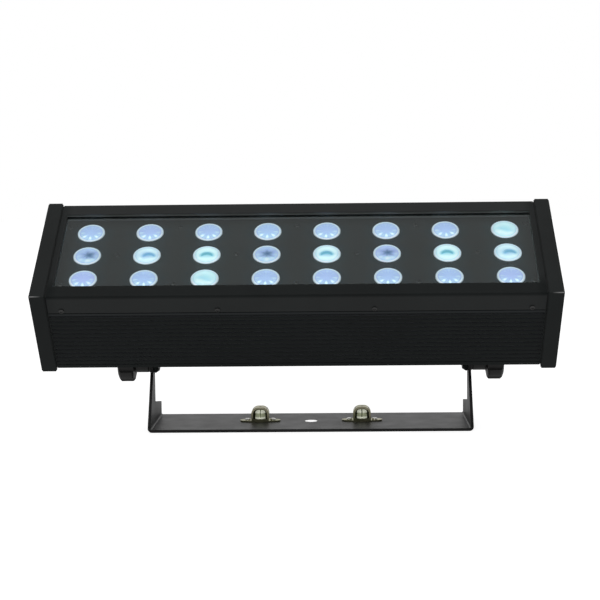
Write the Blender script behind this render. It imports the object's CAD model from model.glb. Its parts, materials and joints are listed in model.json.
"""LED strip batten: the looks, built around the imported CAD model. Lengths are in metres."""
import json
import math
import random

import bmesh
import bpy
from mathutils import Matrix, Vector


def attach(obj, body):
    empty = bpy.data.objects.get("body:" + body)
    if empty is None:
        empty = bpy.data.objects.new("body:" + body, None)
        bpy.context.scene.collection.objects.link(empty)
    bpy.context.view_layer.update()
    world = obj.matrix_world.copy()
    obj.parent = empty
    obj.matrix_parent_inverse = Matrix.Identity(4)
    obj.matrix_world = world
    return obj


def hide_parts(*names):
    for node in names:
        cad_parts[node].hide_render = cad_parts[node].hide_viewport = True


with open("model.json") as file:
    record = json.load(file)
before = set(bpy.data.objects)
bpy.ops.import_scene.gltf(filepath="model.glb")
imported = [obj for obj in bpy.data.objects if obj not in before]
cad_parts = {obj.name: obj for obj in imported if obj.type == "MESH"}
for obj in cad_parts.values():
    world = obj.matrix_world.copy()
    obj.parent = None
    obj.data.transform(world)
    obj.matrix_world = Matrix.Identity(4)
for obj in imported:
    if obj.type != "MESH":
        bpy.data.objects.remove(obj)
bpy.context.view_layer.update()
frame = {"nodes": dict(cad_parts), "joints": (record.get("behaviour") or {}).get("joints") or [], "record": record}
nodes = frame["nodes"]
joints = {joint["name"]: joint for joint in frame["joints"]}
body_of_node = {
    node: body
    for body, members in frame["record"]["behaviour"]["bodies"].items()
    for node in members
}
slot_of_node = {part["node"]: part["material_slot"] for part in frame["record"]["subparts"]}
MM = 0.001

# The housing's own frame: x from its middle, y back from the caps' front plane, z up from their top
PIVOT = Vector(joints["tilt"]["pos_m"])
BACK = -Vector(joints["press_button_1"]["axis"])
UP = Vector((0, -BACK.z, BACK.y))
YOKE_SHIFT = 11.7 * MM
PIVOT_BACK = 42.5 * MM
PIVOT_BELOW_TOP = 128 * MM
HOUSING_AT = PIVOT - Vector((YOKE_SHIFT, 0, 0)) - PIVOT_BACK * BACK + PIVOT_BELOW_TOP * UP
HOUSING = Matrix(
    [
        (1, 0, 0, HOUSING_AT.x),
        (0, BACK.y, UP.y, HOUSING_AT.y),
        (0, BACK.z, UP.z, HOUSING_AT.z),
        (0, 0, 0, 1),
    ]
)

# Sizes of the CAD model. Lens grid:
LENS_COLUMNS = 8
LENS_ROWS = 3
COLUMN_PITCH = 60 * MM
ROW_PITCH = 36.3 * MM
LENS_R = 13.85 * MM
MASK_TOP = -10 * MM

# Housing:
OPEN_X = 236 * MM
BEZEL_TOP = -1.5 * MM
WALL_T = 2 * MM
STRIP_W = 17 * MM
RIB_D = 2.2 * MM
RIB_TOP = -30.5 * MM
HOUSING_D = 146 * MM
CAP_OUTER_X = 257.5 * MM

# Yoke and receptacles:
YOKE_D = 100 * MM
SHEET_T = 3 * MM
CLAMP_HOLE_R = 6.25 * MM
RECEPTACLE_GAP = 106 * MM
FLANGE_TOP = SHEET_T + 1.5 * MM
HOOD_IN_R = 7.3 * MM
HOOD_IN_TOP = 16.6 * MM
HOOD_W = 14 * MM
CAM_H = 9.8 * MM

# Colours of places that differ from the coat round them
STRIP_WALL = (0.085, 0.095, 0.092)
RIB = (0.03, 0.034, 0.036)
GROOVE = (0.085, 0.09, 0.095)
MASK_ROUND_LENS = (0.014, 0.030, 0.036)
MASK_FAR_EDGE = (0.006, 0.008, 0.008)
MASK_ENDS = (0.004, 0.005, 0.005)
BARE_CORNER = (0.5, 0.5, 0.5)
YOKE_CUT = (0.01, 0.01, 0.01)
HOLE_WALL = (0.95, 0.95, 0.95)
FLANGE_CUT = (0.05, 0.052, 0.03)
HOOD_INSIDE = (0.05, 0.055, 0.03)
CAM_GLOW = (0.9, 0.92, 0.78)
CAM_WAIST_GLOW = (0.5, 0.56, 0.3)
CAM_WAIST = (0.26, 0.29, 0.17)


# ---- Camera ----
def make_camera():
    focal_px = 1526.1
    frame_px = 600
    sensor = 36
    place = (0.02992, -1.57505, 0.26852)
    pitch, yaw, roll = (math.radians(a) for a in (-5.037, 1.464, 0.603))
    data = bpy.data.cameras.new("camera")
    data.sensor_width = sensor
    data.lens = focal_px / frame_px * sensor
    camera = bpy.data.objects.new("camera", data)
    bpy.context.scene.collection.objects.link(camera)
    camera.matrix_world = (
        Matrix.Translation(place)
        @ Matrix.Rotation(yaw, 4, "Z")
        @ Matrix.Rotation(pitch, 4, "X")
        @ Matrix.Rotation(roll, 4, "Y")
        @ Matrix.Rotation(math.pi / 2, 4, "X")
    )
    bpy.context.scene.camera = camera


# ---- Material helpers ----
class Shader:
    """A material with a Principled shader and short calls to add nodes before it."""

    def __init__(self, name):
        self.material = bpy.data.materials.new(name)
        self.material.use_nodes = True
        self.tree = self.material.node_tree
        self.bsdf = self.tree.nodes["Principled BSDF"]
        self.point = self.node("ShaderNodeTexCoord").outputs["Object"]

    def node(self, kind, inputs=None, **settings):
        made = self.tree.nodes.new(kind)
        for key, value in settings.items():
            setattr(made, key, value)
        for key, value in (inputs or {}).items():
            self.feed(made.inputs[key], value)
        return made

    def feed(self, socket, value):
        if isinstance(value, bpy.types.NodeSocket):
            self.tree.links.new(value, socket)
        elif isinstance(value, tuple) and len(value) == 3 and len(socket.default_value) == 4:
            socket.default_value = (*value, 1)
        else:
            socket.default_value = value

    def set(self, **values):
        for key, value in values.items():
            self.feed(self.bsdf.inputs[key.replace("_", " ").title().replace("Ior", "IOR")], value)

    def math(self, operation, a, b=0.0, clamp=False):
        made = self.node("ShaderNodeMath", {0: a, 1: b}, operation=operation)
        made.use_clamp = clamp
        return made.outputs[0]

    def product(self, *values):
        result = values[0]
        for value in values[1:]:
            result = self.math("MULTIPLY", result, value)
        return result

    def length(self, x, y):
        squares = [self.math("MULTIPLY", side, side) for side in (x, y)]
        return self.math("SQRT", self.math("ADD", *squares))

    def scaled(self, colour, tone):
        return self.node("ShaderNodeVectorMath", {0: colour, 3: tone}, operation="SCALE").outputs[0]

    def dot(self, a, b):
        return self.node("ShaderNodeVectorMath", {0: a, 1: b}, operation="DOT_PRODUCT").outputs["Value"]

    def xyz(self, vector):
        return self.node("ShaderNodeSeparateXYZ", {0: vector}).outputs

    def normal(self):
        return self.node("ShaderNodeNewGeometry").outputs["Normal"]

    def noise(self, scale, detail, stretch=(1, 1, 1)):
        at = self.node("ShaderNodeVectorMath", {0: self.point, 1: stretch}, operation="MULTIPLY").outputs[0]
        values = {"Vector": at, "Scale": scale, "Detail": detail}
        return self.node("ShaderNodeTexNoise", values).outputs["Fac"]

    def ramp(self, value, low, high, out_low=0.0, out_high=1.0):
        values = {"Value": value, "From Min": low, "From Max": high, "To Min": out_low, "To Max": out_high}
        return self.node("ShaderNodeMapRange", values).outputs["Result"]

    def patches(self, scale, detail, low, high):
        """Noise that runs from low to high."""
        return self.ramp(self.noise(scale, detail), 0.3, 0.7, low, high)

    def mix(self, share, a, b):
        made = self.node("ShaderNodeMix", data_type="RGBA")
        self.feed(made.inputs[0], share)
        self.feed(made.inputs[6], a)
        self.feed(made.inputs[7], b)
        return made.outputs[2]

    def bump(self, height, distance, strength):
        values = {"Height": height, "Distance": distance, "Strength": strength}
        return self.node("ShaderNodeBump", values).outputs["Normal"]

    def edges(self, radius):
        """1 along the edges of the piece, 0 on its flats."""
        bent = self.node("ShaderNodeBevel", {"Radius": radius}, samples=4).outputs["Normal"]
        turned = self.math("SUBTRACT", 1.0, self.dot(bent, self.normal()))
        return self.ramp(turned, 0.02, 0.25)


def powder_coat(name, colour, roughness=0.42, gloss=0.5, extra=None):
    """Satin powder coat: fine orange peel, faint cloudiness and slightly polished edges."""
    s = Shader(name)
    cloud = s.patches(14, 3, 0.85, 1.15)
    fleck = s.patches(900, 2, -0.06, 0.06)
    base = s.scaled(colour, s.math("ADD", cloud, fleck))
    edge = s.product(s.edges(0.7 * MM), s.ramp(s.noise(120, 4), 0.35, 0.7))
    polished = tuple(min(1, c * 2.2 + 0.02) for c in colour)
    shade = s.mix(s.product(edge, 0.5), base, polished)
    rough = s.math("ADD", s.patches(45, 3, roughness - 0.04, roughness + 0.05), s.product(edge, -0.1))
    if extra:
        shade, gloss = extra(s, shade, gloss)
    orange_peel = s.bump(s.noise(1400, 1), 0.03 * MM, 0.5)
    s.set(base_color=shade, roughness=rough, specular_ior_level=gloss, normal=orange_peel)
    return s.material


def housing_place(s):
    """x, y and z of the shaded point in the housing's frame, in metres."""
    at = s.node("ShaderNodeVectorMath", {0: s.point, 1: tuple(HOUSING_AT)}, operation="SUBTRACT").outputs[0]
    return [s.dot(at, tuple(axis)) for axis in (Vector((1, 0, 0)), BACK, UP)]


def bezel_shade(s, shade, gloss):
    """Duller near strip and end strips, livelier skirts and a paler wall under the far strip."""
    x, y, z = housing_place(s)
    skirt = s.ramp(z, BEZEL_TOP - 2 * MM, BEZEL_TOP - 5 * MM)
    middle = s.ramp(s.math("ABSOLUTE", x), OPEN_X + 2 * MM, OPEN_X - 6 * MM, 0.6, 1.0)
    strips = s.product(middle, s.ramp(y, STRIP_W - 3 * MM, STRIP_W + 13 * MM, gloss * 0.4, gloss))
    gloss = s.math("ADD", strips, s.product(skirt, gloss * 0.75))
    far = HOUSING_D - STRIP_W
    wall = s.product(s.ramp(z, BEZEL_TOP - 0.2 * MM, BEZEL_TOP - 0.5 * MM),
                     s.ramp(y, far - 1 * MM, far - 0.5 * MM), s.math("SUBTRACT", 1.0, skirt))
    return s.mix(wall, shade, STRIP_WALL), gloss


def rib_shade(s, shade, gloss):
    """Grooves a little paler than the handled ribs, so that they read as one surface."""
    _, y, z = housing_place(s)
    side = s.math("ABSOLUTE", s.math("SUBTRACT", y, HOUSING_D / 2))
    outer = HOUSING_D / 2 - WALL_T
    groove = s.product(s.ramp(side, outer - 0.2 * MM, outer - RIB_D * 0.4),
                       s.ramp(z, RIB_TOP + 0.6 * MM, RIB_TOP))
    shade = s.mix(s.ramp(z, RIB_TOP, RIB_TOP + 0.6 * MM), shade, RIB)
    return s.mix(groove, shade, GROOVE), s.ramp(groove, 0.0, 1.0, gloss * 0.45, gloss * 0.7)


def mask_shade(s, shade, gloss):
    """Bluer round the lenses, dark towards the ends and the far edge, and faintly lit under the far
    strip, where the glass shows no sky."""
    x, y, _ = housing_place(s)

    def from_nearest(value, pitch, offset):
        """Distance along one axis from the nearest lens middle."""
        steps = s.math("ADD", s.math("DIVIDE", value, pitch), offset)
        return s.product(s.math("SUBTRACT", s.math("FRACT", steps), 0.5), pitch)

    # 8 whole steps keep FRACT away from negative numbers. Rows take half a step more, since the middle
    # row lies on the middle line
    dx = from_nearest(x, COLUMN_PITCH, 8.0)
    dy = from_nearest(s.math("SUBTRACT", y, HOUSING_D / 2), ROW_PITCH, 8.5)
    shade = s.mix(s.ramp(s.length(dx, dy), 26 * MM, 15 * MM), shade, MASK_ROUND_LENS)
    far = HOUSING_D - STRIP_W
    shade = s.mix(s.ramp(y, far - 15 * MM, far - 4 * MM, 0.0, 0.8), shade, MASK_FAR_EDGE)
    under = s.product(s.ramp(y, far - 0.5 * MM, far + 1 * MM), s.ramp(y, far + 10 * MM, far + 8 * MM))
    s.set(emission_color=(0.9, 1.0, 1.0), emission_strength=s.product(under, 0.02))
    ends = s.ramp(s.math("ABSOLUTE", x), OPEN_X - 13 * MM, OPEN_X - 3 * MM)
    return s.mix(ends, shade, MASK_ENDS), gloss


def rubbed_corner(s, shade, gloss):
    """Bare metal shows through at the outer end of each cap's front top edge."""
    x, y, z = housing_place(s)
    outer = s.ramp(s.math("ABSOLUTE", x), CAP_OUTER_X - 12 * MM, CAP_OUTER_X - 1 * MM)
    from_edge = s.math("SUBTRACT", y, z)
    rub = s.product(outer, s.ramp(from_edge, 0.9 * MM, 0.45 * MM),
                    s.ramp(s.noise(260, 3), 0.3, 0.5, 0.6, 1.0))
    return s.mix(rub, shade, BARE_CORNER), gloss


def yoke_shade(s, shade, gloss):
    """The clamp hole's wall is bare and glows a little, for the light that comes up through the hole.
    The sheet's cut edges are duller, and the legs darken towards the base."""
    x, y, z = s.xyz(s.point)
    wall = s.product(s.ramp(s.length(x, y), CLAMP_HOLE_R + 0.4 * MM, CLAMP_HOLE_R + 0.3 * MM),
                     s.ramp(z, SHEET_T - 0.02 * MM, SHEET_T - 0.1 * MM))
    front = s.ramp(y, 0.4 * MM - YOKE_D / 2, 0.1 * MM - YOKE_D / 2)
    sideways = s.math("ABSOLUTE", s.xyz(s.normal())[0])
    cut = s.product(s.ramp(sideways, 0.5, 0.3), s.ramp(z, 4 * MM, 5 * MM))
    dull = s.product(s.math("MAXIMUM", front, cut), 0.6)
    bottom = s.product(s.ramp(z, 22 * MM, 4 * MM, 0.0, 0.8), s.ramp(z, SHEET_T, SHEET_T + 1 * MM))
    shade = s.mix(s.math("ADD", dull, bottom, clamp=True), shade, YOKE_CUT)
    gloss = s.product(s.math("SUBTRACT", 1.0, s.math("MAXIMUM", dull, bottom)), gloss)
    s.set(emission_color=(1.0, 1.0, 1.0), emission_strength=s.product(wall, 0.5))
    return s.mix(wall, shade, HOLE_WALL), gloss


def receptacle_shade(s, shade):
    """The hood is dark inside. The foot of the hood and the flange's cut edge are dull."""
    x, y, z = s.xyz(s.point)
    across = s.math("ABSOLUTE", s.math("SUBTRACT", s.math("ABSOLUTE", x), RECEPTACLE_GAP / 2))
    deep = s.product(s.ramp(across, HOOD_IN_R + 0.3 * MM, HOOD_IN_R + 0.1 * MM),
                     s.ramp(z, HOOD_IN_TOP + 0.3 * MM, HOOD_IN_TOP + 0.1 * MM),
                     s.ramp(y, 0.1 * MM - HOOD_W / 2, 0.4 * MM - HOOD_W / 2),
                     s.ramp(z, FLANGE_TOP - 0.1 * MM, FLANGE_TOP + 0.1 * MM))
    rim = s.ramp(z, FLANGE_TOP - 0.1 * MM, FLANGE_TOP - 0.4 * MM)
    foot = s.product(s.ramp(across, HOOD_IN_R + 2 * MM, HOOD_IN_R + 1 * MM),
                     s.ramp(z, FLANGE_TOP + 5 * MM, FLANGE_TOP + 1 * MM))
    shade = s.mix(s.product(s.math("MAXIMUM", rim, foot), 0.75), shade, FLANGE_CUT)
    return s.mix(deep, shade, HOOD_INSIDE)


def cam_shade(s, shade):
    """The cam is bright at its top and foot and stained round its waist. It glows a little, for the
    light that a bright cam picks up from its surroundings."""
    up = s.ramp(s.xyz(s.point)[2], FLANGE_TOP, FLANGE_TOP + CAM_H)
    waist = s.product(s.ramp(up, 0.84, 0.66), s.ramp(up, 0.26, 0.42))
    stain = s.product(waist, 0.7)
    glow = s.mix(stain, CAM_GLOW, CAM_WAIST_GLOW)
    s.set(emission_color=glow, emission_strength=s.ramp(waist, 0.0, 1.0, 0.42, 0.2))
    return s.mix(stain, shade, CAM_WAIST)


def moulded(name, colour, roughness):
    """Moulded plastic or rubber with a faint grain and uneven gloss."""
    s = Shader(name)
    base = s.scaled(colour, s.patches(60, 3, 0.85, 1.15))
    light = tuple(min(1, c * 1.8 + 0.01) for c in colour)
    s.set(base_color=s.mix(s.product(s.edges(0.5 * MM), 0.5), base, light))
    s.set(roughness=s.patches(90, 2, roughness - 0.05, roughness + 0.05))
    s.set(normal=s.bump(s.noise(1100, 2), 0.02 * MM, 0.6))
    return s.material


def plated(name, colour, roughness, stain=None, metallic=1.0, extra=None):
    """Plated or bare metal: fine drawn lines, patchy tint and brighter edges."""
    s = Shader(name)
    base = s.scaled(colour, s.ramp(s.noise(160, 4), 0.25, 0.75, 0.75, 1.15))
    if stain:
        base = s.mix(s.ramp(s.noise(70, 4), 0.42, 0.68), base, stain)
    bright = tuple(min(1, c * 1.35) for c in colour)
    shade = s.mix(s.product(s.edges(0.4 * MM), 0.6), base, bright)
    if extra:
        shade = extra(s, shade)
    s.set(base_color=shade, metallic=metallic)
    s.set(roughness=s.patches(300, 3, roughness - 0.07, roughness + 0.09))
    s.set(normal=s.bump(s.noise(500, 2, stretch=(1, 1, 9)), 0.03 * MM, 0.5))
    return s.material


def clear_glass(name, mirrors):
    """A clear pane. Its outer face also mirrors by Fresnel."""
    s = Shader(name)
    s.tree.nodes.remove(s.bsdf)
    tint = (0.93, 0.98, 0.97, 1) if mirrors else (0.98, 1, 1, 1)
    shown = s.node("ShaderNodeBsdfTransparent", {"Color": tint}).outputs[0]
    if mirrors:
        smudge = s.ramp(s.noise(9, 4), 0.35, 0.75, 0.03, 0.12)
        mirror = s.node("ShaderNodeBsdfGlossy", {"Roughness": smudge, "Color": (0.93, 1, 1, 1)}).outputs[0]
        share = s.product(s.node("ShaderNodeFresnel", {"IOR": 1.45}).outputs[0], 1.7)
        shown = s.node("ShaderNodeMixShader", {0: share, 1: shown, 2: mirror}).outputs[0]
    s.tree.links.new(shown, s.tree.nodes["Material Output"].inputs["Surface"])
    return s.material


# ---- Mesh helpers ----
SMOOTH_BELOW = math.radians(40)
BEVEL_ABOVE = math.radians(35)
FLAT_WITHIN = math.radians(0.8)
BEVEL_W = 0.3 * MM


def to_object(name, bm, body, material, stands_for, matrix=None):
    """The piece made from bm, on its body and in place of the CAD nodes it stands for."""
    if matrix:
        bm.transform(matrix)
    bmesh.ops.recalc_face_normals(bm, faces=bm.faces)
    for face in bm.faces:
        face.smooth = True
    for edge in bm.edges:
        edge.smooth = len(edge.link_faces) == 2 and edge.calc_face_angle(0) < SMOOTH_BELOW
    mesh = bpy.data.meshes.new(name)
    bm.to_mesh(mesh)
    bm.free()
    piece = bpy.data.objects.new(name, mesh)
    bpy.context.scene.collection.objects.link(piece)
    mesh.materials.append(material)
    weighted = piece.modifiers.new("flats", "WEIGHTED_NORMAL")
    weighted.keep_sharp = True
    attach(piece, body)
    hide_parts(*stands_for)
    return piece


def welded_copy(node):
    """The CAD node's faces, joined up and with flat faces whole again."""
    bm = bmesh.new()
    bm.from_mesh(nodes[node].data)
    for layer in list(bm.loops.layers.float_vector.values()):
        bm.loops.layers.float_vector.remove(layer)
    bmesh.ops.remove_doubles(bm, verts=bm.verts, dist=0.003 * MM)
    bmesh.ops.dissolve_limit(bm, angle_limit=FLAT_WITHIN, verts=bm.verts, edges=bm.edges)
    return bm


def refine(node, material):
    """Stands for a CAD node with the same shape and rounded edges."""
    bm = welded_copy(node)
    sharp = [e for e in bm.edges if len(e.link_faces) == 2 and e.calc_face_angle(0) > BEVEL_ABOVE]
    bmesh.ops.bevel(
        bm, geom=sharp, offset=BEVEL_W, offset_type="OFFSET", segments=2,
        profile=0.6, affect="EDGES", clamp_overlap=True,
    )
    to_object(node + "_piece", bm, body_of_node[node], material, [node])


def lathe(bm, profile, steps, matrix):
    """Turns (radius, height) points round z, then places them."""
    rings = []
    for radius, height in profile:
        ring = []
        for i in range(steps):
            a = 2 * math.pi * i / steps
            ring.append(bm.verts.new(matrix @ Vector((radius * math.cos(a), radius * math.sin(a), height))))
        rings.append(ring)
    for low, high in zip(rings, rings[1:]):
        for i in range(steps):
            j = (i + 1) % steps
            bm.faces.new((low[i], low[j], high[j], high[i]))
    return rings


def make_glass():
    """The pane, with the mirroring material on its outer face alone."""
    bm = welded_copy("cover_glass")
    for face in bm.faces:
        face.normal_update()
        face.material_index = 0 if face.normal.dot(UP) > 0.9 else 1
    pane = to_object("glass_pane", bm, "head", clear_glass("cover_glass", True),
                     ["cover_glass"])
    pane.data.materials.append(clear_glass("glass_inside", False))


# ---- Lenses ----
# One sign per lens, the back row first.
# Kinds: p petals, s smooth, d dark middle, a arch
LENS_KINDS = ("ppppppps", "DAadadaA", "ppsppppp")
# Kinds in capitals sit a little to the right
# Tints: 0 lilac, 5 blue, 9 cyan
LENS_TINTS = ("43454449", "45947296", "14943442")
LILAC = (0.50, 0.56, 0.95)
BLUE = (0.47, 0.62, 0.92)
CYAN = (0.52, 0.84, 0.94)
PALE_CYAN = (0.77, 0.97, 1.0)
HAZE = (0.60, 0.80, 0.97)
PETAL = (0.76, 0.96, 1.0)
SPOKE = (0.28, 0.42, 0.75)
SWIRL = (0.42, 0.66, 0.84)
BAND = (0.86, 1.0, 1.0)
PIT = (0.07, 0.15, 0.30)
GLINT = (0.80, 0.98, 1.0)
ARCH_FILL = (0.36, 0.66, 0.86)
ARCH_BLUE = (0.12, 0.34, 0.62)
ARCH_CYAN = (0.14, 0.46, 0.58)
RIM_LINE = (0.33, 0.40, 0.58)
RIM = (0.64, 0.75, 0.84)
RIM_NEAR = (0.74, 0.74, 0.84)
LENS_EDGE = (0.28, 0.34, 0.36)


def lens_material():
    """Pale acrylic over a bright cup. lens_place runs from -1 to 1 across each lens."""
    s = Shader("lens_acrylic")
    place = s.node("ShaderNodeAttribute", attribute_name="lens_place").outputs["Vector"]
    kind = s.node("ShaderNodeAttribute", attribute_name="lens_kind").outputs["Vector"]
    looks = s.node("ShaderNodeAttribute", attribute_name="lens_looks").outputs["Vector"]
    u, v, _ = s.xyz(place)
    dark, arch, smooth = s.xyz(kind)
    tint, turn, shift = s.xyz(looks)
    radius = s.length(u, v)
    angle = s.math("ADD", s.math("ARCTAN2", v, u), turn)
    plain = s.math("SUBTRACT", 1.0, s.math("MAXIMUM", s.math("MAXIMUM", dark, arch), smooth), clamp=True)

    def bell(value, middle, width):
        """1 where value is middle, falling to 0 a few widths away."""
        offset = s.math("DIVIDE", s.math("SUBTRACT", value, middle), width)
        return s.math("EXPONENT", s.product(offset, offset, -1.0))

    def wave(folds):
        """Cosine that repeats folds times round the lens."""
        return s.math("COSINE", s.product(angle, folds))

    def from_point(x, y, squash=1.0):
        """Distance from a point of the lens face, with y counted squash times."""
        dx = s.math("SUBTRACT", s.math("SUBTRACT", u, shift), x)
        return s.length(dx, s.product(s.math("SUBTRACT", v, y), squash))

    colour = s.mix(s.ramp(tint, 0.0, 0.5), LILAC, BLUE)
    colour = s.mix(s.ramp(tint, 0.5, 0.9), colour, CYAN)
    # Eight light petals, strongest on the near side
    near = s.ramp(v, 0.1, -0.4, 0.06, 1.0)
    haze = s.product(bell(radius, 0.66, 0.26), near, s.ramp(plain, 0, 1, 0.5, 0.55))
    colour = s.mix(haze, colour, HAZE)
    petals = s.product(s.ramp(wave(8), -0.1, 0.8), bell(radius, 0.6, 0.17), near,
                       s.ramp(plain, 0, 1, 0.4, 1.0))
    colour = s.mix(petals, colour, PETAL)
    spokes = s.product(s.ramp(wave(16), 0.2, -0.9), bell(radius, 0.5, 0.22), plain, 0.25)
    colour = s.mix(spokes, colour, SPOKE)
    # Smooth and arched lenses are pale around the middle
    pale = s.product(s.math("MAXIMUM", arch, s.product(smooth, 0.6)), bell(radius, 0.62, 0.32),
                     s.ramp(s.math("ABSOLUTE", v), 0.0, 0.4, 0.65, 1.0))
    colour = s.mix(pale, colour, PALE_CYAN)
    bend = s.math("ADD", v, s.product(s.math("SINE", s.product(u, 3.2)), 0.16))
    swirl = s.product(smooth, bell(bend, -0.02, 0.13), s.ramp(radius, 0.72, 0.3), 0.6)
    colour = s.mix(swirl, colour, SWIRL)
    band = s.product(smooth, bell(bend, -0.42, 0.17), s.ramp(radius, 0.85, 0.5), 0.8)
    colour = s.mix(band, colour, BAND)
    # Dark middle with blurred rays
    rays = s.math("ADD", 1.0, s.product(wave(6), 0.14))
    pit = s.product(dark, bell(s.product(from_point(0.03, 0.03, 1.1), rays), 0.0, 0.42))
    colour = s.mix(pit, colour, PIT)
    glint = s.product(s.math("MAXIMUM", dark, arch), bell(from_point(0.02, -0.55, 1.3), 0.0, 0.24))
    colour = s.mix(glint, colour, GLINT)
    # The arch, open on the near side
    above = s.ramp(from_point(0.02, -0.12, 1.2), 0.6, 0.36)
    below = s.ramp(from_point(0.02, -0.42), 0.24, 0.46)
    colour = s.mix(s.product(above, arch, s.ramp(v, -0.3, 0.0, 0.0, 0.5)), colour, ARCH_FILL)
    arch_colour = s.mix(s.ramp(tint, 0.4, 0.8), ARCH_BLUE, ARCH_CYAN)
    colour = s.mix(s.product(above, below, arch, s.ramp(v, -0.36, -0.1)), colour, arch_colour)
    # Thin line, then the white rim
    line = s.product(bell(radius, 0.8, 0.035), s.ramp(v, 0.5, -0.1, 0.1, 0.5))
    colour = s.mix(line, colour, RIM_LINE)
    cloud = s.ramp(s.noise(260, 2), 0.35, 0.65)
    rim = s.mix(s.product(cloud, s.ramp(v, 0.6, -0.6)), RIM, RIM_NEAR)
    colour = s.mix(s.ramp(radius, 0.82, 0.87), colour, rim)
    colour = s.mix(s.ramp(radius, 0.92, 1.0, 0.0, 0.7), colour, LENS_EDGE)
    # The cup's light, stronger in the petals and at the near rim
    boost = s.product(s.math("MAXIMUM", petals, s.product(pale, 0.3)), 0.35)
    rim_boost = s.product(s.ramp(v, -0.1, -0.6, 0.0, 0.3), bell(radius, 0.9, 0.08))
    glow = s.math("ADD", s.math("ADD", 0.6, boost), rim_boost)
    s.set(base_color=colour, emission_color=colour, emission_strength=glow)
    s.set(roughness=0.16, coat_weight=0.3)
    return s.material


def lens_height(r):
    """Height of the lens face over the mask, from r = 0 in the middle to 1 at the edge."""
    dome_r, dome_h = 0.84, 0.35 * MM
    rim_r, rim_w, rim_h = 0.93, 0.04, 0.2 * MM
    dome = dome_h * (1 - (r / dome_r) ** 2) if r < dome_r else 0
    rim = rim_h * math.exp(-(((r - rim_r) / rim_w) ** 2))
    return dome + rim


def make_lenses(material):
    """One object per column of lenses, as in the CAD."""
    around = 56
    radii = [0.06, 0.14, 0.24, 0.34, 0.44, 0.54, 0.62, 0.70, 0.76, 0.81, 0.85, 0.88, 0.92, 0.95, 0.98]
    profile = [(LENS_R * r, lens_height(r)) for r in radii]
    profile += [(LENS_R, -0.2 * MM), (LENS_R, -1.4 * MM)]
    for column in range(LENS_COLUMNS):
        bm = bmesh.new()
        place = bm.verts.layers.float_vector.new("lens_place")
        kind = bm.verts.layers.float_vector.new("lens_kind")
        looks = bm.verts.layers.float_vector.new("lens_looks")
        for row in range(LENS_ROWS):
            letter = LENS_KINDS[LENS_ROWS - 1 - row][column]
            tint = int(LENS_TINTS[LENS_ROWS - 1 - row][column]) / 10
            turn = random.uniform(-0.12, 0.12)
            shift = 0.13 if letter.isupper() else random.uniform(-0.04, 0.04)
            arch = {"a": 1.0, "A": 0.85}.get(letter, 0.0)
            x = (column - (LENS_COLUMNS - 1) / 2) * COLUMN_PITCH
            y = HOUSING_D / 2 + (row - (LENS_ROWS - 1) / 2) * ROW_PITCH
            rings = lathe(bm, profile, around, Matrix.Translation((x, y, MASK_TOP)))
            bm.faces.new(rings[0])
            for ring in rings:
                for vert in ring:
                    vert[place] = ((vert.co.x - x) / LENS_R, (vert.co.y - y) / LENS_R, 0)
                    vert[kind] = (letter in "dD", arch, letter == "s")
                    vert[looks] = (tint, turn, shift)
        node = f"lens_column_{column + 1}"
        to_object(f"lenses_{column + 1}", bm, "head", material, [node], matrix=HOUSING)


# ---- Stage ----
def make_world():
    """White to the camera. To the rest it is bright low behind the object, softer overhead and dim
    on the near side."""
    world = bpy.data.worlds.new("studio")
    bpy.context.scene.world = world
    world.use_nodes = True
    tree = world.node_tree
    background = tree.nodes["Background"]
    direction = tree.nodes.new("ShaderNodeTexCoord").outputs["Generated"]
    split = tree.nodes.new("ShaderNodeSeparateXYZ")
    tree.links.new(direction, split.inputs[0])

    def level(axis, low, high, out_low, out_high):
        ramp = tree.nodes.new("ShaderNodeMapRange")
        for key, value in (("From Min", low), ("From Max", high), ("To Min", out_low), ("To Max", out_high)):
            ramp.inputs[key].default_value = value
        tree.links.new(split.outputs[axis], ramp.inputs["Value"])
        return ramp.outputs[0]

    product = tree.nodes.new("ShaderNodeMath")
    product.operation = "MULTIPLY"
    tree.links.new(level("Y", -0.9, 0.9, 0.35, 0.68), product.inputs[0])
    tree.links.new(level("Z", 0.2, 0.9, 1.0, 0.85), product.inputs[1])
    path = tree.nodes.new("ShaderNodeLightPath")
    share = tree.nodes.new("ShaderNodeMix")
    tree.links.new(path.outputs["Is Camera Ray"], share.inputs[0])
    tree.links.new(product.outputs[0], share.inputs[2])
    share.inputs[3].default_value = 1.0
    tree.links.new(share.outputs[0], background.inputs["Strength"])
    background.inputs["Color"].default_value = (1, 1, 1, 1)


def make_floor():
    """White to the camera and grey to the rest, so that the object's underside stays dark."""
    white = (1, 1, 1, 1)
    bm = bmesh.new()
    bmesh.ops.create_grid(bm, x_segments=2, y_segments=2, size=6)
    mesh = bpy.data.meshes.new("floor")
    bm.to_mesh(mesh)
    bm.free()
    floor = bpy.data.objects.new("floor", mesh)
    bpy.context.scene.collection.objects.link(floor)
    s = Shader("floor")
    s.tree.nodes.remove(s.bsdf)

    def glowing(strength, level):
        glow = s.node("ShaderNodeEmission", {"Color": white, "Strength": strength}).outputs[0]
        plain = s.node("ShaderNodeBsdfDiffuse", {"Color": (level, level, level, 1)}).outputs[0]
        return s.node("ShaderNodeAddShader", {0: glow, 1: plain}).outputs[0]

    hidden = glowing(s.ramp(s.xyz(s.point)[1], 0.0, 0.3, 0.30, 0.46), 0.25)
    shown = glowing(0.85, 0.6)
    seen = s.node("ShaderNodeLightPath").outputs["Is Camera Ray"]
    surface = s.node("ShaderNodeMixShader", {0: seen, 1: hidden, 2: shown}).outputs[0]
    s.tree.links.new(surface, s.tree.nodes["Material Output"].inputs["Surface"])
    mesh.materials.append(s.material)


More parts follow.
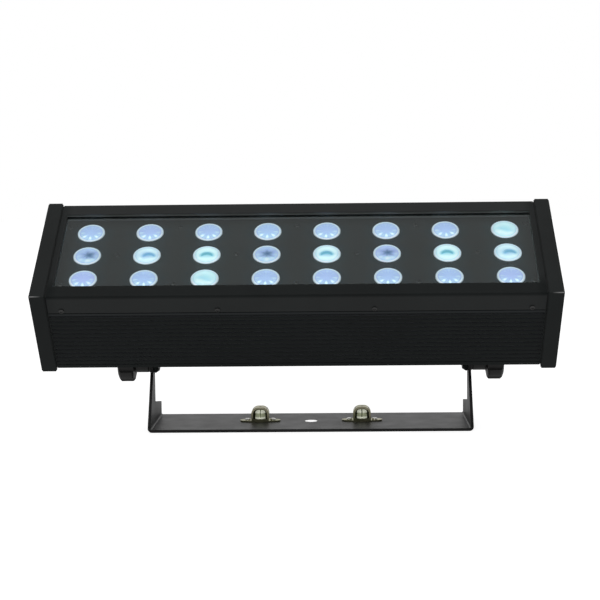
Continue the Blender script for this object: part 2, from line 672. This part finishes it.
def soft_box(name, at, towards, size, power):
    data = bpy.data.lights.new(name, "AREA")
    data.shape = "RECTANGLE"
    data.size, data.size_y = size
    data.energy = power
    lamp = bpy.data.objects.new(name, data)
    bpy.context.scene.collection.objects.link(lamp)
    lamp.location = at
    lamp.rotation_mode = "QUATERNION"
    lamp.rotation_quaternion = (Vector(towards) - Vector(at)).to_track_quat("-Z", "Y")


make_camera()
bpy.context.scene.view_settings.view_transform = "Standard"
random.seed(3)

BLACK = (0.0105, 0.0135, 0.0135)
black = powder_coat("black_coat", BLACK, gloss=0.4)
bezel = powder_coat("bezel_coat", BLACK, gloss=0.4, extra=bezel_shade)
ribbed = powder_coat("ribbed_coat", BLACK, gloss=0.4, extra=rib_shade)
cap = powder_coat("cap_coat", BLACK, gloss=0.25, extra=rubbed_corner)
grey = powder_coat("yoke_coat", (0.03, 0.03, 0.031), extra=yoke_shade)
mask = powder_coat("mask_coat", (0.024, 0.027, 0.027), roughness=0.6, extra=mask_shade)
knob_black = moulded("knob_plastic", (0.014, 0.014, 0.014), 0.45)
rubber = moulded("rubber", (0.022, 0.024, 0.024), 0.8)
gasket = moulded("gasket_rubber", (0.15, 0.16, 0.157), 0.8)
steel = plated("screw_steel", (0.6, 0.6, 0.6), 0.35)
dark_steel = plated("dark_steel", (0.1, 0.1, 0.1), 0.3)
bright = plated("cam_steel", (0.62, 0.64, 0.52), 0.3, metallic=0.35, extra=cam_shade)
zinc = plated("zinc_plate", (0.55, 0.52, 0.36), 0.32, stain=(0.35, 0.36, 0.2), extra=receptacle_shade)
rivet = plated("rivet_steel", (0.8, 0.8, 0.76), 0.18)
SLOT_MATERIALS = {
    "yoke_paint": grey,
    "black_paint": black,
    "mask_paint": mask,
    "knob_plastic": knob_black,
    "holder_plastic": knob_black,
    "rubber": rubber,
    "screw_steel": steel,
    "cam_steel": bright,
    "zinc_plate": zinc,
    "psu_steel": steel,
    "spreader_aluminium": plated("spreader_aluminium", (0.75, 0.75, 0.76), 0.4),
    "lens_acrylic": lens_material(),
    "emitter": moulded("emitter", (0.9, 0.82, 0.35), 0.3),
    "board_white": moulded("board_white", (0.8, 0.8, 0.78), 0.4),
    "board_green": moulded("board_green", (0.02, 0.15, 0.06), 0.35),
    "wire_red": moulded("wire_red", (0.35, 0.03, 0.02), 0.5),
    "window_plastic": moulded("window_plastic", (0.01, 0.012, 0.018), 0.08),
    "button_rubber": moulded("button_rubber", (0.03, 0.03, 0.033), 0.6),
    "socket_blue": moulded("socket_blue", (0.02, 0.07, 0.35), 0.4),
    "socket_grey": moulded("socket_grey", (0.35, 0.35, 0.37), 0.45),
    "socket_black": moulded("socket_black", (0.015, 0.015, 0.015), 0.45),
}
NODE_MATERIALS = {
    "bezel_frame": bezel,
    "housing_body": ribbed,
    "glass_gasket": gasket,
    "end_cap_left": cap,
    "end_cap_right": cap,
    "mask_screws": dark_steel,
    "bezel_screws": dark_steel,
    "receptacle_rivets": rivet,
}
OWN_PIECES = {"cover_glass"} | {f"lens_column_{i + 1}" for i in range(LENS_COLUMNS)}
for node in sorted(set(nodes) - OWN_PIECES):
    refine(node, NODE_MATERIALS.get(node, SLOT_MATERIALS[slot_of_node[node]]))
make_glass()
make_lenses(SLOT_MATERIALS["lens_acrylic"])
make_world()
make_floor()
soft_box("front_key", (-0.5, -2.2, 1.6), (0, 0, 0.15), (0.5, 0.5), 6)
